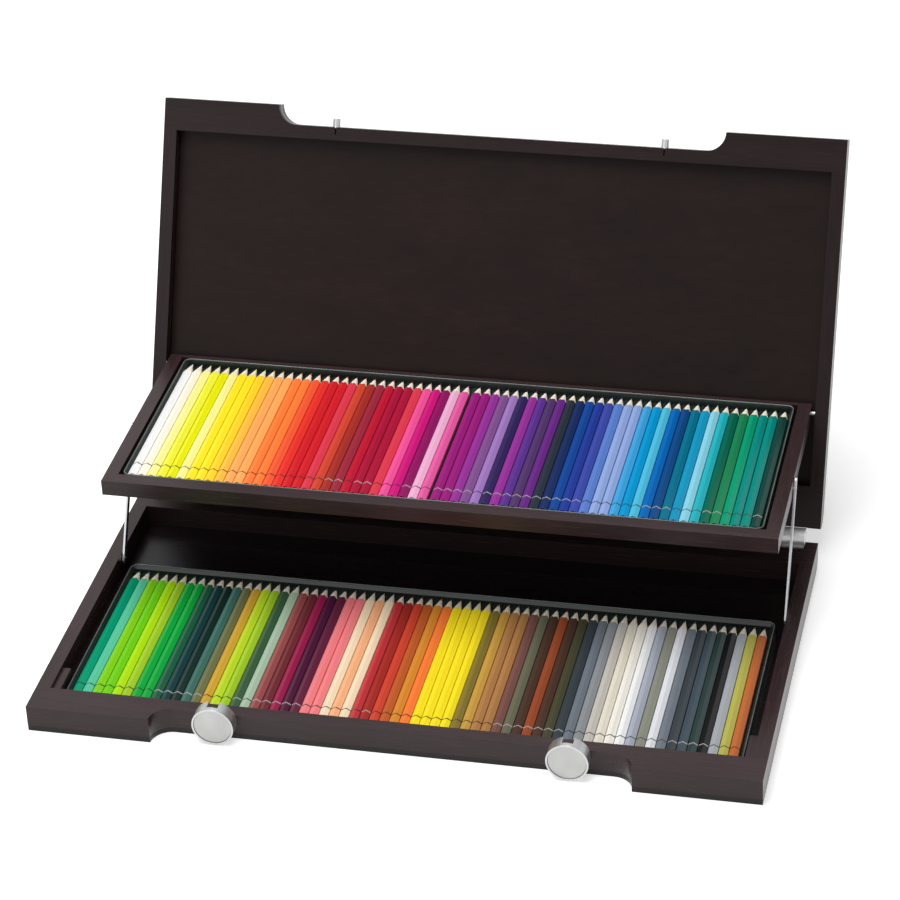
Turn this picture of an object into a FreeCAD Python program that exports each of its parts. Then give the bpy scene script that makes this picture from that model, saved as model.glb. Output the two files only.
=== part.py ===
"""Two-level pencil drawer box: a flat wooden case whose lid lifts a tray on a parallel linkage.

Frame: millimetres, +Z up, +X to the right, front towards -Y, origin in the middle of the underside.
The lid stands open; turning it by lid_opening about +X closes the case. Everything is drawn with
Y = 0 at the front face of the two ears and centred when it is saved, and what is on the lid or
on the tray is drawn closed and then moved to its open place.
"""
import FreeCAD, Part
import math
import os

V = FreeCAD.Vector
X_AXIS, Y_AXIS = V(1, 0, 0), V(0, 1, 0)
SIDES = {"left": -1, "right": 1}
UPRIGHT = 90                # degrees from +X towards +Z

# ---- case outline, shared by base and lid; its depth follows from the pencils and the linkage
case_width = 560.0
ear_width = 96.4            # each front corner, from the side to the finger recess
recess_depth = 15.5         # finger recess between the ears, closed by a quarter-round cove each side
rear_round = 12.0           # rounding of the two long rear edges

# ---- base
base_board = 4.5
base_frame = 17.5           # height of the frame on the board
base_side_wall = 11.2
base_front_wall = 10.8      # behind the finger recess
base_back_wall = 30.4

# ---- lid
lid_gap = 0.3               # between the closed rims
lid_frame = 12.0
lid_board = 5.0
lid_side_wall = 10.8
lid_front_wall = 10.5       # behind the finger recess
lid_back_wall = 33.6
lining = 0.8                # sheet let into the underside of the lid board
lining_gap = 0.2

# ---- hinges: two barrels of three knuckles each, behind the back face
lid_opening = 116.0         # degrees from closed to open
hinge_behind = 8.0          # axis behind the back face
hinge_below_rim = 2.0
barrel_radius = 8.2
barrel_inset = 11.0         # outer end of each barrel, in from the side
outer_knuckle = 24.0
lid_knuckle = 22.0
inner_knuckle = 17.0
knuckle_gap = 0.3
hinge_pin_radius = 2.5
hinge_pin_grip = 10.0       # how far the pin reaches into the knuckles beside the lid's
hinge_pin_slack = 0.3
leaf_thickness = 3.0
leaf_grip = 10.5            # how far each leaf reaches into its rail
barrel_clear = 0.6          # round a barrel, and beside a leaf

# ---- linkage that keeps the tray level: lid and arms are equal, parallel links
link_reach = 99.8           # tray pivots ahead of the hinge axis, closed
link_rise = 5.7             # tray pivots above the hinge axis, closed
arm_setback = 106.0         # arm pivots ahead of the hinge axis
arm_drop = 3.0              # arm pivots below the hinge axis
arm_thickness = 1.5
arm_width = 6.0
arm_low_end = 5.0           # how far the strips run past their lower pivots
arm_high_end = 9.0          # and past their upper ones
arm_clear = 0.6             # between arm and tray, and between arm and wall
arm_pin_radius = 1.5
tray_pin_radius = 1.7
open_pivot_clear = 0.15     # radial play where the arms take the tray's pins
pin_grip = 6.0              # how far the pivot pins reach into wood
tray_pin_slack = 0.3        # between a tray pin's end and the bottom of its hole
running_fit = 0.05          # radial play of every pin in its hole

# ---- tray
tray_height = 13.0
tray_front_gap = 0.7        # to the front wall, closed
tray_front_wall = 11.5
tray_side_wall = 10.7
tray_back_wall = 3.8
tray_board = 3.0
tray_behind_pivot = 3.8
tray_below_pivot = 6.4
rest_gap = 0.3              # between tray and rest blocks, closed
rest_width = 6.5
rest_length = 30.7

# ---- pencils and the moulded inserts that hold them
pencil_flats = 7.3          # hexagonal barrel, from side to side
pencil_length = 173.0
pencil_point = 17.0
pencil_spacing = 0.47       # gap between neighbours
seat_gap = 0.1              # between a pencil's lower sides and its groove
groove_angle = 30.0         # slope of the groove sides, like a hexagon's that stands on an edge
groove_skin = 1.1           # plastic left under a groove
insert_height = 8.4
insert_corner = 6.0
insert_rim = 3.0
insert_lip = 1.0            # flat top of the rim, before it slopes down to the pencils
insert_lip_drop = 2.6
pocket_corner = 1.0
insert_rear_rim = 1.2       # of the upper insert, beside the thin back wall
upper_insert_side_gap = 2.5
lower_insert_side_gap = 1.8
insert_front_gap = 1.0
lower_insert_front_gap = 2.5
tail_gap = 0.5              # between the front rim and the pencils
lower_tip_gap = 1.5
upper_tip_gap = 1.0
upper_split = 31            # pencils left of the wider gap in the upper row
upper_split_gap = 2.0
upper_groups = 8
lower_groups = 6

# ---- turning knobs that catch a pin of the lid
knob_from_ear = 48.6        # knob centre, in from the inner end of the ear
knob_below_rim = 5.0
knob_radius = 16.2
knob_sides = 48             # flats that stand for round on the knob and its cap
knob_front = 4.0            # front face, behind the ears' front face
knob_gap = 0.3              # to the recess wall
knob_web = 0.8              # between the front pocket and the slot
knob_ring = 1.5             # bright ring round the cap
cap_depth = 1.2
cap_thickness = 1.0
cap_gap = 0.05
axle_radius = 2.5
axle_head_flats = 7.0       # hexagonal head, from side to side
axle_head = 1.5
axle_head_gap = 0.2
axle_grip = 8.5
catch_pin_radius = 3.0
catch_pin_end_gap = 0.6     # between the pin's end and the knob's web
catch_pin_above_rim = 3.0
catch_pin_grip = 6.0
catch_play = 0.7            # between pin and groove, radially
catch_slot_play = 1.2       # beside the pin as it enters
catch_turn = 90.0           # degrees from open to locked

# ---- places that follow: from the front back over the tray and its pencils to the hinge
base_front_inner = recess_depth + base_front_wall
tray_front = base_front_inner + tray_front_gap
tray_front_inner = tray_front + tray_front_wall
tails_behind_wall = insert_front_gap + insert_rim + tail_gap
upper_tips = tray_front_inner + tails_behind_wall + pencil_length
tray_back_inner = upper_tips + upper_tip_gap + insert_rear_rim
tray_back = tray_back_inner + tray_back_wall
hinge_y = tray_back - tray_behind_pivot + link_reach
case_depth = hinge_y - hinge_behind

# ---- other places that follow
half_width = case_width / 2
recess_half = half_width - ear_width
base_rim = base_board + base_frame
base_inner = half_width - base_side_wall
base_back_inner = case_depth - base_back_wall

lid_rim = base_rim + lid_gap
lid_ceiling = lid_rim + lid_frame
lid_top = lid_ceiling + lid_board
lid_inner = half_width - lid_side_wall
lid_front_inner = recess_depth + lid_front_wall
lid_back_inner = case_depth - lid_back_wall

hinge = V(0, hinge_y, base_rim - hinge_below_rim)
barrel_outer_end = half_width - barrel_inset
barrel_length = outer_knuckle + lid_knuckle + inner_knuckle + 2 * knuckle_gap
lid_knuckle_start = outer_knuckle + knuckle_gap
hinge_pin_start = outer_knuckle - hinge_pin_grip
hinge_pin_end = lid_knuckle_start + lid_knuckle + knuckle_gap + hinge_pin_grip
leaf_start = case_depth - leaf_grip
base_leaf_bottom = hinge.z - barrel_radius - leaf_thickness / 2

tray_pivot = hinge + V(0, -link_reach, link_rise)
arm_pivot = hinge + V(0, -arm_setback, -arm_drop)
arm_top = arm_pivot + (tray_pivot - hinge)

tray_half = base_inner - arm_thickness - 2 * arm_clear
tray_bottom = tray_pivot.z - tray_below_pivot
tray_top = tray_bottom + tray_height
tray_inner = tray_half - tray_side_wall
arm_inner_face = tray_half + arm_clear

rest_top = tray_bottom - rest_gap

pencil_pitch = pencil_flats + pencil_spacing
groove_valley = (pencil_flats / 2 + seat_gap) / math.cos(math.radians(groove_angle))
axis_above_insert = groove_skin + groove_valley

knob_x = recess_half - knob_from_ear
knob_z = base_rim - knob_below_rim
knob_back = recess_depth - knob_gap
head_start = knob_front + cap_depth + axle_head_gap
pocket_end = head_start + axle_head + axle_head_gap
slot_start = pocket_end + knob_web
catch_z = lid_rim + catch_pin_above_rim
catch_radius = catch_z - knob_z


# ---- helpers
def box(x0, x1, y0, y1, z0, z1):
    return Part.makeBox(x1 - x0, y1 - y0, z1 - z0, V(x0, y0, z0))


def side_box(side, inner, outer, y0, y1, z0, z1):
    """A box given by its distances from the middle plane, on one side of the case."""
    x0, x1 = sorted((side * inner, side * outer))
    return box(x0, x1, y0, y1, z0, z1)


def side_rod(side, inner, outer, centre, radius):
    """A round bar along X, given like side_box."""
    start = V(side * inner, centre.y, centre.z)
    return Part.makeCylinder(radius, outer - inner, start, V(side, 0, 0))


def front_rod(x, z, y0, y1, radius):
    """A round bar along Y."""
    return Part.makeCylinder(radius, y1 - y0, V(x, y0, z), Y_AXIS)


def polygon(centre, radius, sides):
    """The corners of a regular polygon square to Y, with a flat to its left and right."""
    angles = [math.pi * (2 * i + 1) / sides for i in range(sides)]
    return [centre + V(math.cos(angle), 0, math.sin(angle)) * radius for angle in angles]


def hexagon(centre, flats):
    """The corners of a hexagon that stands on one of them, from its size across the flats."""
    return polygon(centre, flats / 2 / math.cos(math.pi / 6), 6)


def polygon_prism(points, along):
    return Part.Face(Part.makePolygon(points + [points[0]])).extrude(along)


def opened(shape):
    """A piece of the lid, turned from closed to open."""
    shape.rotate(hinge, X_AXIS, -lid_opening)
    return shape


def lifted(shape):
    """A piece of the tray, carried from closed to open without turning."""
    pivot = FreeCAD.Rotation(X_AXIS, -lid_opening).multVec(tray_pivot - hinge) + hinge
    shape.translate(pivot - tray_pivot)
    return shape


def save(shape, name):
    shape.translate(V(0, -case_depth / 2, 0))
    shape.exportStep("parts/%s.step" % name)


# ---- case
def case_slab(z0, z1):
    """The case outline with its ears, coves and finger recess, as a slab."""
    cove = recess_half - recess_depth
    middle = recess_depth * math.sqrt(0.5)
    corners = [V(cove, recess_depth, z0), V(-cove, recess_depth, z0)]
    left_cove = Part.Arc(corners[1], V(-cove - middle, middle, z0), V(-recess_half, 0, z0))
    right_cove = Part.Arc(V(recess_half, 0, z0), V(cove + middle, middle, z0), corners[0])
    outside = Part.makePolygon([
        V(-recess_half, 0, z0), V(-half_width, 0, z0), V(-half_width, case_depth, z0),
        V(half_width, case_depth, z0), V(half_width, 0, z0), V(recess_half, 0, z0)])
    edges = [left_cove.toShape()] + outside.Edges
    edges += [right_cove.toShape(), Part.makeLine(corners[0], corners[1])]
    outline = Part.Wire(Part.__sortEdges__(edges))
    return Part.Face(outline).extrude(V(0, 0, z1 - z0))


def rear_edge_waste(z_edge, up):
    """What the rounding takes off the long rear edge at height z_edge; up is +1 for a top edge."""
    y0 = case_depth - rear_round
    z0, z1 = sorted((z_edge, z_edge - up * rear_round))
    corner = box(-half_width, half_width, y0, case_depth, z0, z1)
    centre = V(-half_width, y0, z_edge - up * rear_round)
    return corner.cut(Part.makeCylinder(rear_round, case_width, centre, X_AXIS))


def hinge_span(side, low, high, y0, y1, z0, z1):
    """A box beside the barrel, low and high measured inwards from the barrel's outer end."""
    return side_box(side, barrel_outer_end - high, barrel_outer_end - low, y0, y1, z0, z1)


def build_base():
    underside_round = rear_edge_waste(0, -1)
    save(case_slab(0, base_board).cut(underside_round), "base_bottom")

    frame = case_slab(base_board, base_rim).cut(underside_round)
    front = frame.common(box(-half_width, half_width, 0, base_front_inner, base_board, base_rim))
    back = frame.common(box(-half_width, half_width, base_back_inner, case_depth,
                            base_board, base_rim))
    for name, side in SIDES.items():
        back = back.cut(hinge_span(side, -barrel_clear, barrel_length + barrel_clear,
                                   leaf_start, case_depth, base_leaf_bottom, base_rim))
        front = front.cut(front_rod(side * knob_x, knob_z, recess_depth,
                                    recess_depth + axle_grip, axle_radius + running_fit))
        rail = side_box(side, base_inner, half_width, base_front_inner, base_back_inner,
                        base_board, base_rim)
        rail = rail.cut(side_rod(side, base_inner, base_inner + pin_grip, arm_pivot,
                                 arm_pin_radius + running_fit))
        save(rail, "base_%s_rail" % name)
        block = side_box(side, base_inner - rest_width, base_inner, base_front_inner,
                         base_front_inner + rest_length, base_board, rest_top)
        save(block, "rest_block_%s" % name)
        save(arm_pin(side, base_inner, arm_pivot), "arm_pin_%s" % name)
    save(front, "base_front_rail")
    save(back, "base_back_rail")


def build_lid():
    top_round = rear_edge_waste(lid_top, 1)
    clearance = [side_rod(side, barrel_outer_end - barrel_length - barrel_clear,
                          barrel_outer_end + barrel_clear, hinge, barrel_radius + barrel_clear)
                 for side in SIDES.values()]
    sheet = [-lid_inner, lid_inner, lid_front_inner, lid_back_inner, lid_ceiling,
             lid_ceiling + lining]
    board = case_slab(lid_ceiling, lid_top).cut(top_round).cut(box(*sheet))
    save(opened(board), "lid_top_board")
    panel = box(sheet[0] + lining_gap, sheet[1] - lining_gap, sheet[2] + lining_gap,
                sheet[3] - lining_gap, sheet[4], sheet[5])
    save(opened(panel), "lid_lining")

    frame = case_slab(lid_rim, lid_ceiling).cut(top_round)
    front = frame.common(box(-half_width, half_width, 0, lid_front_inner, lid_rim, lid_ceiling))
    back = frame.common(box(-half_width, half_width, lid_back_inner, case_depth,
                            lid_rim, lid_ceiling)).cut(clearance)
    for name, side in SIDES.items():
        back = back.cut(hinge_span(side, lid_knuckle_start - barrel_clear,
                                   lid_knuckle_start + lid_knuckle + barrel_clear,
                                   leaf_start, case_depth, lid_rim, lid_ceiling))
        front = front.cut(front_rod(side * knob_x, catch_z, recess_depth,
                                    recess_depth + catch_pin_grip,
                                    catch_pin_radius + running_fit))
        rail = side_box(side, lid_inner, half_width, lid_front_inner, lid_back_inner,
                        lid_rim, lid_ceiling)
        rail = rail.cut(side_rod(side, lid_inner, lid_inner + pin_grip, tray_pivot,
                                 tray_pin_radius + running_fit))
        save(opened(rail), "lid_%s_rail" % name)
        catch_pin = front_rod(side * knob_x, catch_z, slot_start + catch_pin_end_gap,
                              recess_depth + catch_pin_grip, catch_pin_radius)
        save(opened(catch_pin), "catch_pin_%s" % name)
        pivot = side_rod(side, tray_half - pin_grip, lid_inner + pin_grip, tray_pivot,
                         tray_pin_radius)
        save(opened(pivot), "tray_pivot_pin_%s" % name)
    save(opened(front), "lid_front_rail")
    save(opened(back), "lid_back_rail")


# ---- hinges
def barrel_span(side, low, high, radius):
    """A round bar on the hinge axis, low and high measured inwards from the barrel's outer end."""
    return side_rod(side, barrel_outer_end - high, barrel_outer_end - low, hinge, radius)


def base_hinge_leaf(side):
    """Two knuckles on feet that run into one plate let into the back rail, bored from inside."""
    plate_top = base_leaf_bottom + leaf_thickness
    leaf = hinge_span(side, 0, barrel_length, leaf_start, case_depth - leaf_thickness / 2,
                      base_leaf_bottom, plate_top)
    for low, high in ((0, outer_knuckle), (barrel_length - inner_knuckle, barrel_length)):
        foot = hinge_span(side, low, high, leaf_start, hinge.y, base_leaf_bottom, plate_top)
        leaf = leaf.fuse([barrel_span(side, low, high, barrel_radius), foot])
    bore = barrel_span(side, hinge_pin_start - hinge_pin_slack, hinge_pin_end + hinge_pin_slack,
                       hinge_pin_radius + running_fit)
    return leaf.cut(bore).removeSplitter()


def lid_hinge_leaf(side):
    """The middle knuckle, a web up the lid's back face and a foot under the lid board."""
    low, high = lid_knuckle_start, lid_knuckle_start + lid_knuckle
    web_front = case_depth + lid_gap
    web = hinge_span(side, low, high, web_front, web_front + leaf_thickness, hinge.z, lid_ceiling)
    foot = hinge_span(side, low, high, leaf_start, web_front + leaf_thickness,
                      lid_ceiling - leaf_thickness, lid_ceiling)
    bore = barrel_span(side, low, high, hinge_pin_radius + running_fit)
    leaf = barrel_span(side, low, high, barrel_radius).fuse([web, foot])
    return leaf.cut(bore).removeSplitter()


def build_hinges():
    for name, side in SIDES.items():
        save(base_hinge_leaf(side), "hinge_base_leaf_%s" % name)
        save(opened(lid_hinge_leaf(side)), "hinge_lid_leaf_%s" % name)
        save(barrel_span(side, hinge_pin_start, hinge_pin_end, hinge_pin_radius),
             "hinge_pin_%s" % name)


# ---- tray and its linkage
def build_tray():
    board_top = tray_bottom + tray_board
    board = box(-tray_inner, tray_inner, tray_front_inner, tray_back_inner,
                tray_bottom, board_top)
    save(lifted(board), "tray_bottom")
    front = box(-tray_half, tray_half, tray_front, tray_front_inner, tray_bottom, tray_top)
    save(lifted(front), "tray_front_rail")
    back = box(-tray_inner, tray_inner, tray_back_inner, tray_back, tray_bottom, tray_top)
    save(lifted(back), "tray_back_rail")
    for name, side in SIDES.items():
        rail = side_box(side, tray_inner, tray_half, tray_front_inner, tray_back,
                        tray_bottom, tray_top)
        rail = rail.cut(side_rod(side, tray_half - pin_grip - tray_pin_slack, tray_half,
                                 tray_pivot, tray_pin_radius + running_fit))
        rail = rail.cut(side_rod(side, tray_half - pin_grip, tray_half, arm_top,
                                 arm_pin_radius + running_fit))
        save(lifted(rail), "tray_%s_rail" % name)
        save(lifted(arm_pin(side, tray_half, arm_top)), "tray_arm_pin_%s" % name)


def arm_pin(side, wall, centre):
    """A pin let into a wooden wall, through an arm's eye and a little past it."""
    far = arm_inner_face + arm_thickness + arm_clear / 2
    near = arm_inner_face - arm_clear / 2
    if wall < arm_inner_face:
        return side_rod(side, wall - pin_grip, far, centre, arm_pin_radius)
    return side_rod(side, near, wall + pin_grip, centre, arm_pin_radius)


def build_arms():
    """Flat strips with round ends, drawn closed and swung up with the lid."""
    inner, outer = arm_inner_face, arm_inner_face + arm_thickness
    link = arm_top - arm_pivot
    along = V(link).normalize()
    end = along * (arm_width / 2)
    across = V(0, -end.z, end.y)
    for name, side in SIDES.items():
        pivot = V(side * inner, arm_pivot.y, arm_pivot.z)
        low = pivot - along * (arm_low_end - arm_width / 2)
        high = pivot + link + along * (arm_high_end - arm_width / 2)
        outline = Part.Wire([Part.makeLine(low + across, high + across),
                             Part.Arc(high + across, high + end, high - across).toShape(),
                             Part.makeLine(high - across, low - across),
                             Part.Arc(low - across, low - end, low + across).toShape()])
        arm = Part.Face(outline).extrude(V(side * arm_thickness, 0, 0))
        arm = arm.cut([side_rod(side, inner, outer, arm_pivot, arm_pin_radius + running_fit),
                       side_rod(side, inner, outer, arm_top, arm_pin_radius + open_pivot_clear)])
        arm.rotate(arm_pivot, X_AXIS, -lid_opening)
        save(arm, "arm_%s" % name)


# ---- pencils and inserts
def row_places(half_inside, split, split_gap):
    """Places across the case of as many pencils as fit between the rims, about the middle."""
    count = int((2 * half_inside - split_gap) / pencil_pitch)
    places = [i * pencil_pitch + (split_gap if i >= split else 0) for i in range(count)]
    middle = (places[0] + places[-1]) / 2
    return [place - middle for place in places]


def pencil(x, y, z):
    """A hexagonal pencil lying along Y on one edge, its tail at y and its point behind."""
    tail = hexagon(V(x, y, z), pencil_flats)
    shoulder = [corner + V(0, pencil_length - pencil_point, 0) for corner in tail]
    tip = V(x, y + pencil_length, z)
    faces = [Part.Face(Part.makePolygon(tail + [tail[0]]))]
    for i, corner in enumerate(tail):
        k = (i + 1) % len(tail)
        barrel = [corner, tail[k], shoulder[k], shoulder[i], corner]
        faces.append(Part.Face(Part.makePolygon(barrel)))
        faces.append(Part.Face(Part.makePolygon([shoulder[i], shoulder[k], tip, shoulder[i]])))
    return Part.makeSolid(Part.makeShell(faces))


def rounded_outline(half, y0, y1, z, radius):
    """A level rectangle about the middle of the case, its corners rounded."""
    slab = box(-half, half, y0, y1, z, z + 1)
    slab = slab.makeFillet(radius, [e for e in slab.Edges if e.BoundBox.ZLength > 0.5])
    return min(slab.Faces, key=lambda face: face.CenterOfMass.z).OuterWire


def rounded_slab(half, y0, y1, z0, z1, radius):
    return Part.Face(rounded_outline(half, y0, y1, z0, radius)).extrude(V(0, 0, z1 - z0))


def insert(half, y0, y1, z0, rear_rim, places):
    """A moulded tray with a sloping lip, rounded corners and one groove for each pencil."""
    body = rounded_slab(half, y0, y1, z0, z0 + insert_height, insert_corner)
    slope = math.tan(math.radians(groove_angle))
    axis_z = z0 + axis_above_insert
    pocket_y0, pocket_y1 = y0 + insert_rim, y1 - rear_rim
    top = z0 + insert_height
    section = [V(half - insert_rim, pocket_y0, top), V(insert_rim - half, pocket_y0, top)]
    ledge_z = axis_z - groove_valley + slope * pencil_pitch / 2
    section.append(V(insert_rim - half, pocket_y0, ledge_z))
    for i, x in enumerate(places):
        section.append(V(x - pencil_pitch / 2, pocket_y0, ledge_z))
        section.append(V(x, pocket_y0, axis_z - groove_valley))
        last = i == len(places) - 1
        if last or places[i + 1] - x > 1.001 * pencil_pitch:
            section.append(V(x + pencil_pitch / 2, pocket_y0, ledge_z))
    section.append(V(half - insert_rim, pocket_y0, ledge_z))
    grooves = polygon_prism(section, V(0, pocket_y1 - pocket_y0, 0))
    pocket = rounded_slab(half - insert_rim, pocket_y0, pocket_y1, z0, top, pocket_corner)
    rear_lip = min(insert_lip, rear_rim / 2)
    mouth = rounded_outline(half - insert_lip, y0 + insert_lip, y1 - rear_lip, top,
                            insert_corner - insert_lip)
    throat = rounded_outline(half - insert_rim, pocket_y0, pocket_y1, top - insert_lip_drop,
                             pocket_corner)
    return body.cut([pocket.common(grooves), Part.makeLoft([throat, mouth], True, True)])


def pencil_groups(places, groups, y, z):
    """The row in equal groups, each a compound of separate pencils."""
    for group in range(groups):
        first = group * len(places) // groups
        last = (group + 1) * len(places) // groups
        yield group + 1, Part.makeCompound([pencil(x, y, z) for x in places[first:last]])


def build_lower_row():
    half = base_inner - rest_width - lower_insert_side_gap
    y0 = base_front_inner + lower_insert_front_gap
    tail_y = y0 + insert_rim + tail_gap
    y1 = tail_y + pencil_length + lower_tip_gap + insert_rim
    places = row_places(half - insert_rim, 0, 0)
    save(insert(half, y0, y1, base_board, insert_rim, places), "lower_insert")
    axis_z = base_board + axis_above_insert
    for number, group in pencil_groups(places, lower_groups, tail_y, axis_z):
        save(group, "pencils_lower_%d" % number)


def build_upper_row():
    half = tray_inner - upper_insert_side_gap
    y0 = tray_front_inner + insert_front_gap
    tail_y = upper_tips - pencil_length
    z0 = tray_bottom + tray_board
    places = row_places(half - insert_rim, upper_split, upper_split_gap)
    moulding = insert(half, y0, tray_back_inner, z0, insert_rear_rim, places)
    save(lifted(moulding), "upper_insert")
    for number, group in pencil_groups(places, upper_groups, tail_y, z0 + axis_above_insert):
        save(lifted(group), "pencils_upper_%d" % number)


# ---- knobs
def knob_disc(x, y0, y1, radius):
    return polygon_prism(polygon(V(x, y0, knob_z), radius, knob_sides), V(0, y1 - y0, 0))


def knob(side):
    """A turned knob, open at the back for the lid's pin: a slot at the top runs into an arc."""
    x = side * knob_x
    body = knob_disc(x, knob_front, knob_back, knob_radius)
    hollows = [knob_disc(x, knob_front, pocket_end, knob_radius - knob_ring),
               front_rod(x, knob_z, pocket_end, knob_back, axle_radius + running_fit)]
    reach = catch_pin_radius + catch_play
    inner, outer = catch_radius - reach, catch_radius + reach
    slot_half = catch_pin_radius + catch_slot_play
    slot = box(x - slot_half, x + slot_half, slot_start, knob_back,
               knob_z + inner, knob_z + knob_radius)
    sweep = catch_turn + math.degrees(math.asin(reach / catch_radius))
    start = UPRIGHT if side > 0 else UPRIGHT - sweep
    groove = arc_slot(x, knob_z, inner, outer, start, sweep)
    return body.cut(hollows).cut([slot, groove])


def arc_slot(x, z, inner, outer, start, sweep):
    """A ring segment from the back face to the slot's end, angles in degrees from +X towards +Z."""
    ring = Part.makeCylinder(outer, knob_back - slot_start, V(0, 0, 0), V(0, 0, 1), sweep)
    ring = ring.cut(Part.makeCylinder(inner, knob_back - slot_start))
    ring.rotate(V(0, 0, 0), V(0, 0, 1), start)
    ring.rotate(V(0, 0, 0), X_AXIS, 90)
    ring.translate(V(x, knob_back, z))
    return ring


def build_knobs():
    for name, side in SIDES.items():
        x = side * knob_x
        save(knob(side), "knob_%s" % name)
        cap_back = knob_front + cap_depth
        cap = knob_disc(x, cap_back - cap_thickness, cap_back, knob_radius - knob_ring - cap_gap)
        save(cap, "knob_cap_%s" % name)
        head = polygon_prism(hexagon(V(x, head_start, knob_z), axle_head_flats),
                             V(0, axle_head, 0))
        shank = front_rod(x, knob_z, head_start + axle_head, recess_depth + axle_grip,
                          axle_radius)
        save(head.fuse(shank), "knob_axle_%s" % name)


os.makedirs("parts", exist_ok=True)
build_base()
build_lid()
build_hinges()
build_tray()
build_arms()
build_lower_row()
build_upper_row()
build_knobs()
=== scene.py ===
"""Dresses the pencil drawer box: stained wood, moulded inserts, metal fittings, 130 pencils."""
import math

import bmesh
import bpy
from mathutils import Matrix, Vector


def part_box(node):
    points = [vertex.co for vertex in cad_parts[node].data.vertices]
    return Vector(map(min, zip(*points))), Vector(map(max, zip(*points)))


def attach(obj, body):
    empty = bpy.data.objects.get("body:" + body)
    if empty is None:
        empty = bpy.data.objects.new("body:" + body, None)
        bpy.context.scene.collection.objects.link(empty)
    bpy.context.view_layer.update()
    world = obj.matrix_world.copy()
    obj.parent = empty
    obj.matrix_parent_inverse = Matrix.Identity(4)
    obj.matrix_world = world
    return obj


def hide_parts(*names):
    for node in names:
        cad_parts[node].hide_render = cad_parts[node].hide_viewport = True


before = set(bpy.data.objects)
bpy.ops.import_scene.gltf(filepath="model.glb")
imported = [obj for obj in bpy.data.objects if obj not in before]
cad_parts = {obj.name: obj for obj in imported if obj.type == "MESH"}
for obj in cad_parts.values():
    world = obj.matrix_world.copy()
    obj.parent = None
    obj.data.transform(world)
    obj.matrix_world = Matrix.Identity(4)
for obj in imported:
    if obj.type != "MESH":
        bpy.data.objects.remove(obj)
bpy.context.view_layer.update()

MM = 0.001
SIDES = {"left": -1, "right": 1}

# ---- camera: the place it looks from, worked out for a square picture
camera_azimuth = math.radians(14.07)
camera_elevation = math.radians(32.44)
camera_roll = math.radians(-2.93)
camera_distance = 2549.6 * MM
camera_pan = Vector((-46.4 * MM, -234.9 * MM))   # object past the lens axis, right and up
focal_in_pictures = 3438.8 / 900
sensor_width = 36.0
origin_behind_ears = 155 * MM

# ---- sizes of the dressing
wood_bevel = 0.5 * MM
metal_bevel = 0.3 * MM
plastic_bevel = 0.6 * MM
lining_bevel = 0.2 * MM
pin_bevel = 0.15 * MM
sharp_from = math.radians(32)    # edges that bend more than this are rounded
soft_bend = (math.radians(2), sharp_from)    # between the facets of a curved face
broad_face = 120 * MM * MM       # area from which a face of the wood is shaded flat
weld_gap = 0.002 * MM            # between points of a CAD mesh that are one point
merge_gap = 0.005 * MM           # the same, in meshes made here
pencil_flats = 7.3 * MM
pencil_edge_round = 0.7 * MM
pencil_point = 17.0 * MM
lead_length = 4.6 * MM
lead_tip_radius = 0.35 * MM
tail_rounding = 0.4 * MM
ring_from_tail = 14.5 * MM
ring_width = 1.05 * MM
turned_sharp = math.radians(40)
turned_middle = 0.001 * MM       # radius of a turned disc's middle, merged to a point
knob_sides = 96
knob_edge = 0.5 * MM
knob_ring_width = 1.5 * MM
cap_gap = 0.1 * MM               # between the cap and the ring
cap_recess = 0.75 * MM
cap_edge_round = 0.2 * MM
cap_thickness = 0.25 * MM
pin_sides = 48
catch_pin_in_wood = 6.0 * MM
catch_pin_chamfer = 0.4 * MM
catch_pin_seat = 0.5 * MM        # of the dressed pin in the wood, enough to hide its end
lip_inset = 0.6 * MM             # of the lip's middle line, from the insert's edge
lip_half = 0.5 * MM
lip_soft = 0.3 * MM
lip_corner = 6.0 * MM
lip_steps = 8                    # along each corner
lip_heights = {"upper_insert": 1.3 * MM, "lower_insert": 0.7 * MM}

lid_open = math.radians(116)     # from closed; the frame shows the lid open

# ---- studio
overhead_power = 32
front_power = 3
world_on_object = 0.25           # as soft light; seen straight or mirrored it is 1
floor_seen = 0.5                 # emission of the floor, seen straight or mirrored
floor_reach = 6.0


# ---- colours: a named palette, with four greens judged from a crop
def shade(red, green, blue):
    """A colour written 0 to 255 as a screen shows it, as linear RGBA."""
    def linear(value):
        value /= 255
        return value / 12.92 if value < 0.04045 else ((value + 0.055) / 1.055) ** 2.4
    return (linear(red), linear(green), linear(blue), 1.0)


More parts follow.
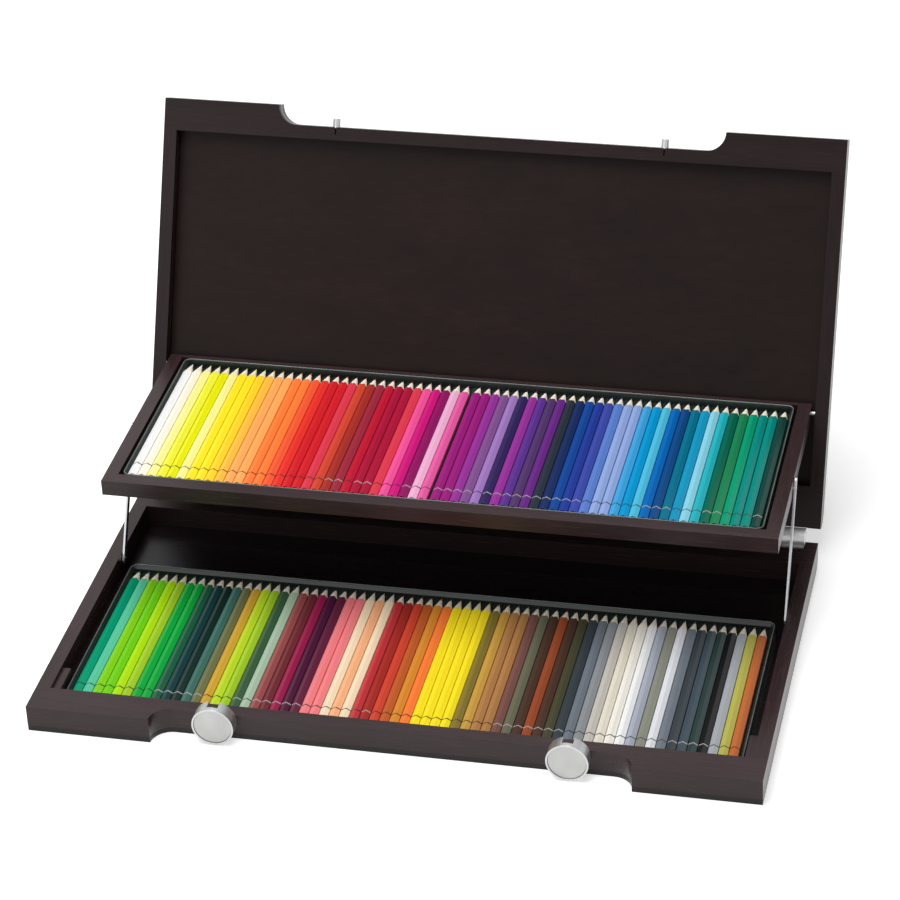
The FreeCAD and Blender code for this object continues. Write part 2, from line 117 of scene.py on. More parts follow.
PALE_PAINT = 0.16                # brightness from which a pencil's ring is printed dark
PAINTS = {
    "white": (240, 240, 240), "ivory": (250, 240, 222), "pale_yellow": (246, 240, 150),
    "greenish_yellow": (238, 236, 60), "acid_yellow": (228, 228, 10), "yellow": (250, 228, 40),
    "golden_yellow": (252, 212, 45), "yellow_orange": (252, 190, 70),
    "light_orange": (252, 172, 95), "orange": (248, 128, 60), "orange_red": (240, 92, 55),
    "scarlet": (228, 52, 45), "red": (208, 32, 42), "red_pink": (218, 60, 80),
    "brick_orange": (208, 72, 52), "brick": (165, 48, 42), "dark_rose": (155, 42, 62),
    "crimson": (190, 25, 52), "carmine": (170, 22, 58),
    "salmon_pink": (240, 130, 135), "hot_pink": (238, 85, 155), "magenta": (205, 25, 125),
    "lilac_pink": (236, 178, 212), "pink": (226, 92, 160),
    "wine_magenta": (140, 22, 95), "purple_magenta": (152, 30, 122),
    "bright_purple": (150, 52, 152), "mauve": (128, 82, 142), "light_violet": (160, 122, 190),
    "navy_violet": (48, 36, 88), "violet": (92, 52, 142),
    "dark_mauve": (82, 55, 105), "purple": (104, 42, 132), "slate_black": (40, 50, 62),
    "navy": (26, 46, 96), "cobalt": (22, 72, 152), "ultramarine": (36, 60, 150),
    "violet_blue": (62, 76, 165), "cornflower": (92, 128, 202), "periwinkle": (145, 168, 218),
    "sky_blue": (62, 162, 216), "cyan": (0, 150, 205), "light_cyan": (80, 188, 218),
    "blue": (0, 102, 180), "dark_blue": (12, 72, 130), "teal_blue": (0, 112, 140),
    "cyan_blue": (20, 150, 190), "pale_cyan": (138, 208, 226), "turquoise": (34, 176, 186),
    "deep_green": (0, 98, 76), "green": (24, 128, 82), "emerald": (0, 152, 112),
    "teal": (0, 136, 126), "night_green": (16, 62, 56), "mint": (92, 198, 162),
    "grass": (132, 206, 26), "bright_green": (112, 204, 20), "yellow_green": (176, 224, 16),
    "leaf_green": (16, 166, 64), "pine": (32, 92, 66),
    "black_teal": (22, 60, 62), "black_green": (20, 46, 42), "grey_teal": (62, 108, 98),
    "olive": (108, 112, 72), "ochre_gold": (206, 162, 52), "lime": (188, 216, 42),
    "lime_green": (160, 200, 42), "moss": (58, 92, 62), "sage": (168, 194, 168),
    "brown_rose": (152, 78, 78), "dark_brown_rose": (112, 46, 52), "magenta_wine": (152, 32, 76),
    "dark_purple": (76, 26, 56), "plum": (96, 36, 62),
    "cream": (246, 226, 192), "peach": (246, 178, 132),
    "rose_red": (192, 56, 62), "orange_brown": (192, 96, 46), "ochre_orange": (216, 142, 52),
    "olive_brown": (132, 116, 52), "ochre": (202, 158, 72), "light_brown": (176, 126, 76),
    "mauve_brown": (122, 82, 76), "olive_grey": (106, 106, 86), "dark_brown": (76, 54, 44),
    "rust": (152, 76, 46), "dark_olive": (72, 72, 52), "dark_slate": (58, 66, 72),
    "grey": (142, 146, 150), "warm_grey": (196, 192, 184), "cream_grey": (226, 220, 204),
    "off_white": (240, 236, 226), "blue_grey": (166, 172, 186), "stone": (138, 140, 128),
    "silver_white": (226, 228, 234), "slate": (112, 120, 130), "dark_blue_slate": (66, 80, 90),
    "green_slate": (46, 64, 62), "black": (24, 24, 26), "silver": (168, 172, 178),
    "gold_green": (184, 180, 84), "copper": (192, 106, 56),
}
UPPER_ROW = (
    "white ivory pale_yellow greenish_yellow acid_yellow pale_yellow yellow yellow "
    "golden_yellow yellow_orange light_orange light_orange orange orange orange_red scarlet "
    "red red red_pink brick_orange brick dark_rose crimson carmine carmine red_pink "
    "hot_pink magenta wine_magenta lilac_pink pink purple_magenta purple_magenta "
    "bright_purple mauve light_violet navy_violet bright_purple violet dark_mauve purple "
    "slate_black navy cobalt ultramarine violet_blue cornflower periwinkle periwinkle "
    "sky_blue cyan light_cyan blue dark_blue teal_blue cyan_blue pale_cyan turquoise "
    "deep_green green emerald teal teal night_green").split()
LOWER_ROW = (
    "emerald mint grass bright_green yellow_green lime_green leaf_green leaf_green pine "
    "black_teal black_green grey_teal olive ochre_gold lime lime_green moss sage brown_rose "
    "dark_brown_rose magenta_wine dark_purple plum salmon_pink salmon_pink cream peach "
    "cream rose_red brick brick_orange orange_brown ochre_orange orange yellow yellow "
    "yellow yellow olive_brown ochre light_brown light_brown mauve_brown olive_grey "
    "dark_brown rust dark_brown dark_olive dark_slate slate grey warm_grey cream_grey "
    "off_white white blue_grey stone silver_white slate dark_slate dark_blue_slate "
    "green_slate black silver gold_green copper").split()


# ---- material helpers
class Nodes:
    """A material being built: add() makes a node and sets its inputs by name."""

    def __init__(self, name):
        self.material = bpy.data.materials.new(name)
        self.material.use_nodes = True
        self.tree = self.material.node_tree
        self.shader = self.tree.nodes["Principled BSDF"]

    def add(self, kind, **inputs):
        node = self.tree.nodes.new("ShaderNode" + kind)
        for key, value in inputs.items():
            socket = node.inputs[key.replace("_", " ")]
            self.feed(socket, value)
        return node

    def feed(self, socket, value):
        if isinstance(value, bpy.types.NodeSocket):
            self.tree.links.new(value, socket)
        else:
            socket.default_value = value

    def set(self, **inputs):
        for key, value in inputs.items():
            self.feed(self.shader.inputs[key.replace("_", " ")], value)

    def ramp(self, factor, *stops):
        """A colour ramp; each stop is (place, colour)."""
        node = self.add("ValToRGB", Fac=factor)
        elements = node.color_ramp.elements
        while len(elements) < len(stops):
            elements.new(0.5)
        for element, (place, colour) in zip(elements, stops):
            element.position = place
            element.color = colour
        return node.outputs["Color"]

    def range(self, value, low, high):
        """A 0 to 1 value spread from low to high."""
        node = self.add("MapRange", Value=value)
        node.inputs["To Min"].default_value = low
        node.inputs["To Max"].default_value = high
        return node.outputs["Result"]

    def multiply_add(self, value, factor, addend):
        node = self.add("Math", Value=value)
        node.operation = "MULTIPLY_ADD"
        self.feed(node.inputs[1], factor)
        self.feed(node.inputs[2], addend)
        return node.outputs[0]

    def stored(self, attribute, value):
        """The colour stored on the mesh under a name, with its brightness varied by value."""
        node = self.add("Attribute")
        node.attribute_name = attribute
        return self.add("HueSaturation", Color=node.outputs["Color"],
                        Value=value).outputs["Color"]

    def noise(self, vector, scale, detail=4.0, roughness=0.5):
        node = self.add("TexNoise", Vector=vector, Scale=scale, Detail=detail,
                        Roughness=roughness)
        return node.outputs["Fac"]

    def bump(self, height, strength, distance):
        node = self.add("Bump", Height=height, Strength=strength, Distance=distance)
        self.set(Normal=node.outputs["Normal"])

    def place(self, scale=(1, 1, 1), turn=(0, 0, 0)):
        """Object coordinates, turned and then stretched."""
        coords = self.add("TexCoord").outputs["Object"]
        turned = self.add("Mapping", Vector=coords, Rotation=turn).outputs["Vector"]
        return self.add("Mapping", Vector=turned, Scale=scale).outputs["Vector"]


# ---- materials
def stained_wood(name, along, turn=(0, 0, 0), painted_shade_scale=1.0, gloss=0.3):
    """Dark stained wood with fine grain along X or Y, after turning the piece back flat; a
    painted shade scale below 1 darkens the whole copy as painted shade.
    """
    m = Nodes(name)
    stretch = (0.06, 1, 1) if along == "x" else (1, 0.06, 1)
    grain = m.noise(m.place(stretch, turn), 620, 6, 0.62)
    bands = m.noise(m.place(stretch, turn), 70, 3, 0.5)
    mottle = m.noise(m.place(turn=turn), 9, 3, 0.5)
    dark, mid, pale = shade(34, 20, 22), shade(49, 33, 35), shade(66, 47, 50)
    tones = [tuple(min(1, c * painted_shade_scale) for c in tone[:3]) + (1,) for tone in (dark, mid, pale)]
    streaks = m.multiply_add(bands, 0.5, m.range(grain, -0.12, 0.62))
    stain = m.multiply_add(streaks, 0.8, m.range(mottle, -0.12, 0.26))
    colour = m.ramp(stain, (0.18, tones[0]), (0.5, tones[1]), (0.86, tones[2]))
    m.set(Base_Color=colour, Roughness=m.range(grain, 0.2, 0.32))
    m.shader.inputs["Specular IOR Level"].default_value = gloss
    m.bump(grain, 0.1, 0.0003)
    return m.material


def lid_lining(turn):
    """The lid's inner sheet: deep brown, faintly mottled, with a fine pore."""
    m = Nodes("lid_lining")
    cloud = m.noise(m.place((0.5, 1, 1), turn), 26, 6, 0.6)
    pore = m.noise(m.place((0.16, 1, 1), turn), 900, 3, 0.6)
    fine = m.noise(m.place((0.3, 1, 1), turn), 240, 4, 0.6)
    mix = m.multiply_add(cloud, 0.55, m.range(fine, 0.0, 0.45))
    colour = m.ramp(mix, (0.28, shade(20, 12, 11)), (0.5, shade(28, 18, 16)),
                    (0.75, shade(37, 25, 22)))
    m.set(Base_Color=colour, Roughness=m.range(pore, 0.32, 0.5))
    m.shader.inputs["Specular IOR Level"].default_value = 0.12
    m.bump(pore, 0.12, 0.0003)
    return m.material


def insert_plastic():
    """Vacuum-formed dark green-black plastic with a soft sheen."""
    m = Nodes("insert_plastic")
    speck = m.noise(m.place(), 1500, 2, 0.5)
    cloud = m.noise(m.place(), 30, 3, 0.5)
    colour = m.ramp(cloud, (0.3, shade(26, 34, 32)), (0.7, shade(36, 45, 42)))
    m.set(Base_Color=colour, Roughness=m.range(cloud, 0.3, 0.42))
    m.bump(speck, 0.06, 0.0002)
    return m.material


def highlit_rim_plastic():
    """The inserts' rolled edge: the same plastic, shinier, with its colour paler as a painted
    highlight.
    """
    m = Nodes("highlit_rim_plastic")
    cloud = m.noise(m.place(), 45, 3, 0.5)
    # paler grey-green than the insert: a painted highlight along the rim
    colour = m.ramp(cloud, (0.3, shade(78, 88, 85)), (0.7, shade(98, 108, 104)))
    m.set(Base_Color=colour, Roughness=m.range(cloud, 0.24, 0.34))
    m.bump(m.noise(m.place(), 1500, 2, 0.5), 0.05, 0.0002)
    return m.material


def anodised(name, tone, rough):
    """Fine-sanded aluminium."""
    m = Nodes(name)
    sanding = m.noise(m.place((1, 1, 0.35)), 2400, 2, 0.7)
    cloud = m.noise(m.place(), 60, 3, 0.5)
    low = shade(*[channel - 12 for channel in tone])
    colour = m.ramp(cloud, (0.3, low), (0.7, shade(*tone)))
    m.set(Base_Color=colour, Metallic=1.0, Roughness=m.range(sanding, rough - 0.06, rough + 0.08))
    m.bump(sanding, 0.08, 0.0001)
    return m.material


def bright_steel():
    """Finely brushed steel of the arms and pins."""
    m = Nodes("bright_steel")
    brush = m.noise(m.place((1, 0.1, 1)), 1800, 2, 0.6)
    m.set(Base_Color=m.ramp(brush, (0.3, shade(172, 172, 176)), (0.7, shade(204, 205, 208))),
          Metallic=1.0, Roughness=m.range(brush, 0.24, 0.4))
    return m.material


def pencil_paint():
    """Lacquer in the colour stored on each pencil, slightly uneven along its length."""
    m = Nodes("pencil_paint")
    flow = m.noise(m.place((1, 0.05, 1)), 300, 3, 0.5)
    m.set(Base_Color=m.stored("paint", m.range(flow, 0.93, 1.05)),
          Roughness=m.range(flow, 0.3, 0.4))
    m.shader.inputs["Specular IOR Level"].default_value = 0.22
    return m.material


def pencil_ring():
    """The thin printed line round each pencil, dark on pale paint and silver on dark."""
    m = Nodes("pencil_ring")
    wear = m.noise(m.place(), 900, 3, 0.5)
    m.set(Base_Color=m.stored("ring", m.range(wear, 0.85, 1.1)), Roughness=0.35)
    return m.material


def pencil_wood():
    """The sharpened cone's pale wood."""
    m = Nodes("pencil_wood")
    grain = m.noise(m.place((1, 0.08, 1)), 1300, 4, 0.6)
    colour = m.ramp(grain, (0.3, shade(236, 222, 196)), (0.7, shade(252, 246, 230)))
    m.set(Base_Color=colour, Roughness=0.6)
    m.bump(grain, 0.2, 0.0002)
    return m.material


def pencil_lead():
    """The coloured point, a little darker than the paint."""
    m = Nodes("pencil_lead")
    grain = m.noise(m.place(), 1600, 3, 0.6)
    m.set(Base_Color=m.stored("paint", m.range(grain, 0.78, 0.96)), Roughness=0.5)
    m.bump(grain, 0.15, 0.0002)
    return m.material


LID_TURN = (lid_open, 0, 0)
wood_x = stained_wood("wood_along_x", "x")
wood_y = stained_wood("wood_along_y", "y")
# the case wood darkened to a quarter for the compartment floor: painted shade of the dark space
# under the tray
shaded_floor_wood = stained_wood("shaded_floor_wood", "x", painted_shade_scale=0.25)
# the lid's copies of the case wood, darkened to half as painted shade on the open lid, and with
# less gloss
shaded_lid_wood_x = stained_wood("shaded_lid_wood_along_x", "x", LID_TURN, 0.5, 0.16)
shaded_lid_wood_y = stained_wood("shaded_lid_wood_along_y", "y", LID_TURN, 0.5, 0.16)
lining_material = lid_lining(LID_TURN)
insert_material = insert_plastic()
lip_highlight_material = highlit_rim_plastic()
cap_material = anodised("cap_aluminium", (180, 180, 178), 0.42)
knob_material = anodised("knob_aluminium", (196, 197, 197), 0.36)
barrel_material = anodised("barrel_aluminium", (226, 227, 227), 0.5)
steel_material = bright_steel()


# ---- mesh helpers
def new_object(name, mesh, materials):
    """A linked object, with its materials in the mesh's slots in order."""
    for i, material in enumerate(materials):
        if i < len(mesh.materials):
            mesh.materials[i] = material
        else:
            mesh.materials.append(material)
    piece = bpy.data.objects.new(name, mesh)
    bpy.context.scene.collection.objects.link(piece)
    return piece


def evaluated_mesh(piece):
    """The piece's mesh with its modifiers applied."""
    graph = bpy.context.evaluated_depsgraph_get()
    graph.update()
    return bpy.data.meshes.new_from_object(piece.evaluated_get(graph), depsgraph=graph)


def welded_copy(node):
    """A copy of a CAD node's mesh with its faces joined at their edges."""
    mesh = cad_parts[node].data.copy()
    work = bmesh.new()
    work.from_mesh(mesh)
    bmesh.ops.remove_doubles(work, verts=work.verts, dist=weld_gap)
    work.to_mesh(mesh)
    work.free()
    return mesh


def round_edges(piece, width, broad_flat=False):
    """Rounds the sharp edges and shades curves smooth; broad faces can be kept plainly flat."""
    bevel = piece.modifiers.new("edges", "BEVEL")
    bevel.width = width
    bevel.segments = 2
    bevel.limit_method = "ANGLE"
    bevel.angle_limit = sharp_from
    if broad_flat:
        work = bmesh.new()
        work.from_mesh(piece.data)
        for face in work.faces:
            bends = [edge.calc_face_angle(0) for edge in face.edges]
            curved = any(soft_bend[0] < bend < soft_bend[1] for bend in bends)
            face.smooth = curved and face.calc_area() < broad_face
        work.to_mesh(piece.data)
        work.free()
        return
    piece.data.shade_smooth()
    normals = piece.modifiers.new("normals", "WEIGHTED_NORMAL")
    normals.weight = 100
    normals.keep_sharp = True


def joined(name, parts, width):
    """One piece from several CAD nodes that are glued face to face.

    parts maps a node to its material. The glue lines close up and the outer edges are rounded.
    """
    materials = list(dict.fromkeys(parts.values()))
    solids = []
    for node, material in parts.items():
        mesh = welded_copy(node)
        solid = new_object("solid_" + node, mesh, materials)
        mesh.polygons.foreach_set("material_index",
                                  [materials.index(material)] * len(mesh.polygons))
        solids.append(solid)
    for other in solids[1:]:
        union = solids[0].modifiers.new("join", "BOOLEAN")
        union.operation = "UNION"
        union.solver = "EXACT"
        union.object = other
    mesh = evaluated_mesh(solids[0])
    for solid in solids:
        bpy.data.objects.remove(solid)
    work = bmesh.new()
    work.from_mesh(mesh)
    bmesh.ops.remove_doubles(work, verts=work.verts, dist=merge_gap)
    bmesh.ops.dissolve_limit(work, angle_limit=math.radians(1), verts=work.verts,
                             edges=work.edges, delimit={"MATERIAL"})
    work.to_mesh(mesh)
    work.free()
    piece = new_object(name, mesh, materials)
    round_edges(piece, width, broad_flat=True)
    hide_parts(*parts)
    return piece


def dress(node, material, width, broad_flat=False):
    """Gives a CAD node its material and soft edges, keeping its own shape."""
    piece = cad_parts[node]
    for slot in piece.material_slots:
        slot.material = material
    weld = piece.modifiers.new("weld", "WELD")
    weld.merge_threshold = weld_gap
    round_edges(piece, width, broad_flat)


def lathe(profile, centre, axis, sides):
    """A mesh turned about an axis through centre; profile is a list of (radius, along)."""
    work = bmesh.new()
    spin = Vector((0, 0, 1)).rotation_difference(axis).to_matrix()
    rings = []
    for radius, along in profile:
        ring = []
        for i in range(sides):
            angle = 2 * math.pi * i / sides
            local = Vector((radius * math.cos(angle), radius * math.sin(angle), along))
            ring.append(work.verts.new(centre + spin @ local))
        rings.append(ring)
    for near, far in zip(rings, rings[1:]):
        for i in range(sides):
            k = (i + 1) % sides
            work.faces.new((near[i], near[k], far[k], far[i]))
    return work


def finish_mesh(work, name):
    """The mesh of a bmesh, with its faces turned outwards."""
    bmesh.ops.recalc_face_normals(work, faces=work.faces)
    mesh = bpy.data.meshes.new(name)
    work.to_mesh(mesh)
    work.free()
    return mesh


def turned(name, profile, centre, axis, sides, material):
    """A lathed piece with a closed middle and crisp edges."""
    work = lathe(profile, centre, axis, sides)
    bmesh.ops.remove_doubles(work, verts=work.verts, dist=merge_gap)
    piece = new_object(name, finish_mesh(work, name), [material])
    piece.data.shade_smooth()
    piece.data.set_sharp_from_angle(angle=turned_sharp)
    return piece


# ---- case, lid and tray
def build_wood():
    """The three glued frames, and the boards, lining and rest blocks on them."""
    base = joined("base_frame", {"base_front_rail": wood_x, "base_back_rail": wood_x,
                                 "base_left_rail": wood_y, "base_right_rail": wood_y}, wood_bevel)
    lid = joined("lid_frame", {"lid_front_rail": shaded_lid_wood_x, "lid_back_rail": shaded_lid_wood_x,
                               "lid_left_rail": shaded_lid_wood_y, "lid_right_rail": shaded_lid_wood_y},
                 wood_bevel)
    tray = joined("tray_frame", {"tray_front_rail": wood_x, "tray_back_rail": wood_x,
                                 "tray_left_rail": wood_y, "tray_right_rail": wood_y},
                  wood_bevel)
    for piece, body in ((base, "base"), (lid, "lid"), (tray, "tray")):
        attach(piece, body)
    dress("base_bottom", shaded_floor_wood, wood_bevel, True)
    dress("lid_top_board", shaded_lid_wood_x, wood_bevel, True)
    dress("lid_lining", lining_material, lining_bevel, True)
    dress("tray_bottom", wood_x, wood_bevel, True)
    for side in SIDES:
        dress("rest_block_" + side, wood_y, wood_bevel, True)


# ---- metal
def build_metal():
    """Hinges, pins, arms, axles and knobs, the same on both sides."""
    for side in SIDES:
        for node in ("hinge_base_leaf_", "hinge_lid_leaf_"):
            dress(node + side, barrel_material, metal_bevel)
        for node in ("hinge_pin_", "tray_pivot_pin_", "arm_pin_", "tray_arm_pin_", "arm_",
                     "knob_axle_"):
            dress(node + side, steel_material, pin_bevel)
        build_catch_pin(side)
        build_knob(side)


def build_catch_pin(side):
    """The end of a catch pin that stands out of the lid, with a chamfered tip."""
    outward = Vector((0, -math.cos(lid_open), math.sin(lid_open)))
    across = outward.cross(Vector((1, 0, 0)))
    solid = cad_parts["catch_pin_" + side]
    points = [solid.matrix_world @ vertex.co for vertex in solid.data.vertices]
    spans = [(min(p.dot(way) for p in points), max(p.dot(way) for p in points))
             for way in (Vector((1, 0, 0)), across, outward)]
    radius = (spans[0][1] - spans[0][0]) / 2
    out = spans[2][1] - spans[2][0] - catch_pin_in_wood + catch_pin_seat
    tip = (Vector((1, 0, 0)) * sum(spans[0]) / 2 + across * sum(spans[1]) / 2
           + outward * spans[2][1])
    profile = [(turned_middle, 0), (radius - catch_pin_chamfer, 0), (radius, -catch_pin_chamfer),
               (radius, -out), (turned_middle, -out)]
    pin = turned("turned_pin_" + side, profile, tip, outward, pin_sides, steel_material)
    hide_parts("catch_pin_" + side)
    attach(pin, "lid")


def build_knob(side):
    """The turned knob keeps its own shape; its cap becomes a sanded disc set back in the ring."""
    dress("knob_" + side, knob_material, knob_edge)
    low, high = [Vector(corner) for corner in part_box("knob_" + side)]
    front = Vector(((low.x + high.x) / 2, low.y, (low.z + high.z) / 2))
    rim = (high.x - low.x) / 2 - knob_ring_width - cap_gap
    face, back = cap_recess, cap_recess + cap_thickness
    profile = [(turned_middle, face), (rim - cap_edge_round, face), (rim, face + cap_edge_round),
               (rim, back), (turned_middle, back)]
    cap = turned("sanded_cap_" + side, profile, front, Vector((0, 1, 0)), knob_sides,
                 cap_material)
    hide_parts("knob_cap_" + side)
    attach(cap, "knob_" + side)


# ---- rolled lips of the moulded inserts
def build_lip(node, body):
    """A rounded bead that runs round the top of an insert's rim."""
    low, high = [Vector(corner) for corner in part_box(node)]
    rise = lip_heights[node]
    section = [(lip_half, 0), (lip_half, rise - lip_soft), (lip_half - lip_soft, rise),
               (lip_soft - lip_half, rise), (-lip_half, rise - lip_soft), (-lip_half, 0)]
    radius = lip_corner - lip_inset
    work = bmesh.new()
    loops = []
    for quarter, (x, y) in enumerate(((high.x, high.y), (low.x, high.y),
                                      (low.x, low.y), (high.x, low.y))):
        centre = Vector((x - math.copysign(lip_corner, x - (low.x + high.x) / 2),
                         y - math.copysign(lip_corner, y - (low.y + high.y) / 2), high.z))
        for step in range(lip_steps + 1):
            angle = math.pi / 2 * (quarter + step / lip_steps)
            out = Vector((math.cos(angle), math.sin(angle), 0))
            loops.append([work.verts.new(centre + out * (radius + u) + Vector((0, 0, v)))
                          for u, v in section])
    for near, far in zip(loops, loops[1:] + loops[:1]):
        for i in range(len(section)):
            k = (i + 1) % len(section)
            face = work.faces.new((near[i], near[k], far[k], far[i]))
            face.smooth = True
    # the bead's paler plastic is a painted highlight of the insert's edge
    lip = new_object("lip_" + node, finish_mesh(work, "lip"), [lip_highlight_material])
    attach(lip, body)


# ---- pencils
def brightness(paint):
    """How bright a linear colour looks, from 0 to 1."""
    return 0.3 * paint[0] + 0.6 * paint[1] + 0.1 * paint[2]


def pencil_row(nodes, row, body, slots):
    """Lacquered pencils in place of the plain solids, one piece for each CAD node."""
    pale_ink, dark_ink = shade(172, 172, 168), shade(16, 14, 16)
    materials = [pencil_paint_material, pencil_ring_material, pencil_wood_material,
                 pencil_lead_material]
    done = 0
    for node, slot in zip(nodes, slots):
        low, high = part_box(node)
        work = bmesh.new()
        paint_layer = work.faces.layers.float_color.new("paint")
        ring_layer = work.faces.layers.float_color.new("ring")
        for x, z in pencil_places(node):
            paint = PAINTS[row[done]]
            ink = dark_ink if brightness(shade(*paint)) > PALE_PAINT else pale_ink
            for face in add_pencil(work, x, low[1], high[1], z):
                face[paint_layer] = shade(*paint)
                face[ring_layer] = ink
            done += 1
        mesh = bpy.data.meshes.new("row_" + node)
        work.to_mesh(mesh)
        work.free()
        piece = new_object("dressed_" + node, mesh, materials)
        normals = piece.modifiers.new("normals", "WEIGHTED_NORMAL")
        normals.keep_sharp = True
        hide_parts(node)
        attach(piece, body)
    assert done == len(row), (done, len(row))


def pencil_places(node):
    """(x, z) of each pencil's axis in a CAD node, from the sharp points of its solids."""
    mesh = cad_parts[node].data
    back = max(vertex.co.y for vertex in mesh.vertices)
    tips = {(round(v.co.x, 5), round(v.co.z, 5)) for v in mesh.vertices if v.co.y > back - 1e-5}
    return sorted(tips)


def hexagon_section():
    """Points round a hexagonal barrel that stands on an edge, with its edges rounded."""
    section = []
    to_round = (pencil_flats / 2 - pencil_edge_round) / math.cos(math.pi / 6)
    corner_steps, flat_steps = 3, 4
    for i in range(6):
        heading = math.pi / 6 + i * math.pi / 3
        for step in range(corner_steps + 1):
            angle = heading + (step / corner_steps - 0.5) * math.pi / 3
            section.append(Vector((to_round * math.cos(heading), to_round * math.sin(heading)))
                           + pencil_edge_round * Vector((math.cos(angle), math.sin(angle))))
        following = heading + math.pi / 3
        start = section[-1]
        end = (to_round * Vector((math.cos(following), math.sin(following)))
               + pencil_edge_round * Vector((math.cos(heading + math.pi / 6),
                                             math.sin(heading + math.pi / 6))))
        section += [start.lerp(end, step / flat_steps) for step in range(1, flat_steps)]
    return section


PENCIL_SECTION = hexagon_section()


def add_pencil(work, x, tail, tip, z):
    """One pencil along Y: painted barrel and ring line, scalloped wood cone, coloured point."""
    corner = pencil_flats / 2 / math.cos(math.pi / 6)
    slope = pencil_point / corner
    ring = tail + ring_from_tail
    rounded = 1 - tail_rounding / corner

    def barrel(y, scale=1.0):
        return [work.verts.new((x + p.x * scale, y, z + p.y * scale)) for p in PENCIL_SECTION]

    def cone(radius):
        return [work.verts.new((x + p.x / p.length * radius, tip - radius * slope,
                                z + p.y / p.length * radius)) for p in PENCIL_SECTION]

    lead_radius = lead_length / slope
    scallop = [work.verts.new((x + p.x, tip - p.length * slope, z + p.y)) for p in PENCIL_SECTION]
    loops = [[work.verts.new((x, tail, z))], barrel(tail, rounded), barrel(tail + tail_rounding),
             barrel(ring), barrel(ring + ring_width), scallop, cone(lead_radius * 2),
             cone(lead_radius), cone(lead_tip_radius), [work.verts.new((x, tip, z))]]
    kinds = (0, 0, 0, 1, 0, 2, 2, 3, 3)
    faces = []
    count = len(PENCIL_SECTION)
    for near, far, kind in zip(loops, loops[1:], kinds):
        for i in range(count):
            k = (i + 1) % count
            if len(near) == 1:
                corners = (near[0], far[i], far[k])
            elif len(far) == 1:
                corners = (near[i], far[0], near[k])
            else:
                corners = (near[i], far[i], far[k], near[k])
            face = work.faces.new(corners)
            face.material_index = kind
            face.smooth = True
            faces.append(face)
    for loop in (loops[1], scallop, loops[7]):
        for edge in {edge for v in loop for edge in v.link_edges if edge.other_vert(v) in loop}:
            edge.smooth = False
    return faces


# ---- studio
def build_camera():
    """Aims the camera; camera_pan shifts it sideways so that the lens itself stays centred."""
    a, e, roll = camera_azimuth, camera_elevation, camera_roll
    back = Vector((math.sin(a) * math.cos(e), -math.cos(a) * math.cos(e), math.sin(e)))
    level = Vector((0, 0, 1)).cross(back).normalized()
    upright = back.cross(level)
    right = level * math.cos(roll) + upright * math.sin(roll)
    up = upright * math.cos(roll) - level * math.sin(roll)
    ears = Vector((0, -origin_behind_ears, 0))
    place = ears + back * camera_distance - right * camera_pan.x - up * camera_pan.y
    data = bpy.data.cameras.new("camera")
    data.sensor_width = sensor_width
    data.lens = focal_in_pictures * sensor_width
    camera = bpy.data.objects.new("camera", data)
    turn = Matrix((right, up, back)).transposed().to_4x4()
    camera.matrix_world = Matrix.Translation(place) @ turn
    bpy.context.scene.collection.objects.link(camera)
    bpy.context.scene.camera = camera


def soft_light(name, place, target, width, height, power):
    """A soft rectangular lamp at place that faces target."""
    data = bpy.data.lights.new(name, "AREA")
    data.shape = "RECTANGLE"
    data.size = width
    data.size_y = height
    data.energy = power
    light = bpy.data.objects.new(name, data)
    light.location = place
    light.rotation_euler = (Vector(target) - Vector(place)).to_track_quat("-Z", "Y").to_euler()
    bpy.context.scene.collection.objects.link(light)


def seen_directly(tree):
    """A socket that is 1 for what the camera sees, straight or mirrored, and 0 for soft light."""
    path = tree.nodes.new("ShaderNodeLightPath")
    either = tree.nodes.new("ShaderNodeMath")
    either.operation = "MAXIMUM"
    tree.links.new(path.outputs["Is Camera Ray"], either.inputs[0])
    tree.links.new(path.outputs["Is Glossy Ray"], either.inputs[1])
    return either.outputs["Value"]


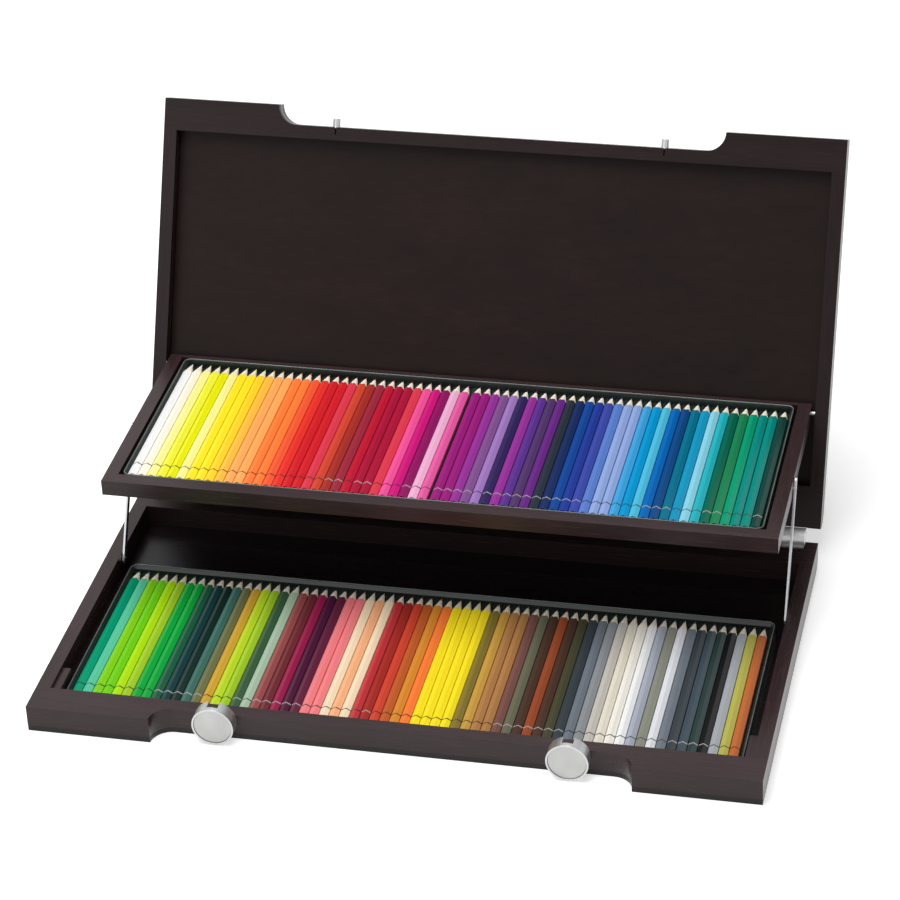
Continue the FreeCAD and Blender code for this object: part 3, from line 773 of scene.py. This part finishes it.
def build_studio():
    """A white world and floor, which light the object only softly, and two lamps."""
    world = bpy.data.worlds.new("studio")
    world.use_nodes = True
    tree = world.node_tree
    background = tree.nodes["Background"]
    strength = tree.nodes.new("ShaderNodeMapRange")
    tree.links.new(seen_directly(tree), strength.inputs["Value"])
    strength.inputs["To Min"].default_value = world_on_object
    strength.inputs["To Max"].default_value = 1.0
    tree.links.new(strength.outputs["Result"], background.inputs["Strength"])
    background.inputs["Color"].default_value = (1, 1, 1, 1)
    bpy.context.scene.world = world

    soft_light("overhead", (-0.25, -0.1, 1.7), (0, 0.0, 0.05), 1.8, 1.3, overhead_power)
    soft_light("front", (-1.1, -1.6, 0.9), (0, 0, 0.1), 1.0, 0.9, front_power)

    work = bmesh.new()
    corners = [work.verts.new((x * floor_reach, y * floor_reach, 0))
               for x, y in ((-1, -1), (1, -1), (1, 1), (-1, 1))]
    work.faces.new(corners)
    m = Nodes("floor")
    grain = m.noise(m.place(), 40, 2, 0.5)
    m.set(Base_Color=m.ramp(grain, (0.3, shade(238, 238, 238)), (0.7, shade(242, 242, 242))),
          Roughness=0.9, Emission_Color=(1, 1, 1, 1),
          Emission_Strength=m.range(seen_directly(m.tree), 0.0, floor_seen))
    floor = new_object("floor", finish_mesh(work, "floor"), [m.material])


pencil_paint_material = pencil_paint()
pencil_ring_material = pencil_ring()
pencil_wood_material = pencil_wood()
pencil_lead_material = pencil_lead()

build_camera()
build_studio()
build_wood()
build_metal()
for insert, carrier in (("lower_insert", "base"), ("upper_insert", "tray")):
    dress(insert, insert_material, plastic_bevel)
    build_lip(insert, carrier)
UPPER_SLOTS = ["yellow_pencils", "orange_pencils", "red_pencils", "pink_pencils",
               "purple_pencils", "blue_pencils", "cyan_pencils", "teal_pencils"]
LOWER_SLOTS = ["green_pencils", "olive_pencils", "rose_pencils", "amber_pencils",
               "brown_pencils", "grey_pencils"]
pencil_row(["pencils_upper_%d" % (i + 1) for i in range(8)], UPPER_ROW, "tray", UPPER_SLOTS)
pencil_row(["pencils_lower_%d" % (i + 1) for i in range(6)], LOWER_ROW, "base", LOWER_SLOTS)

bpy.context.scene.view_settings.view_transform = "Standard"
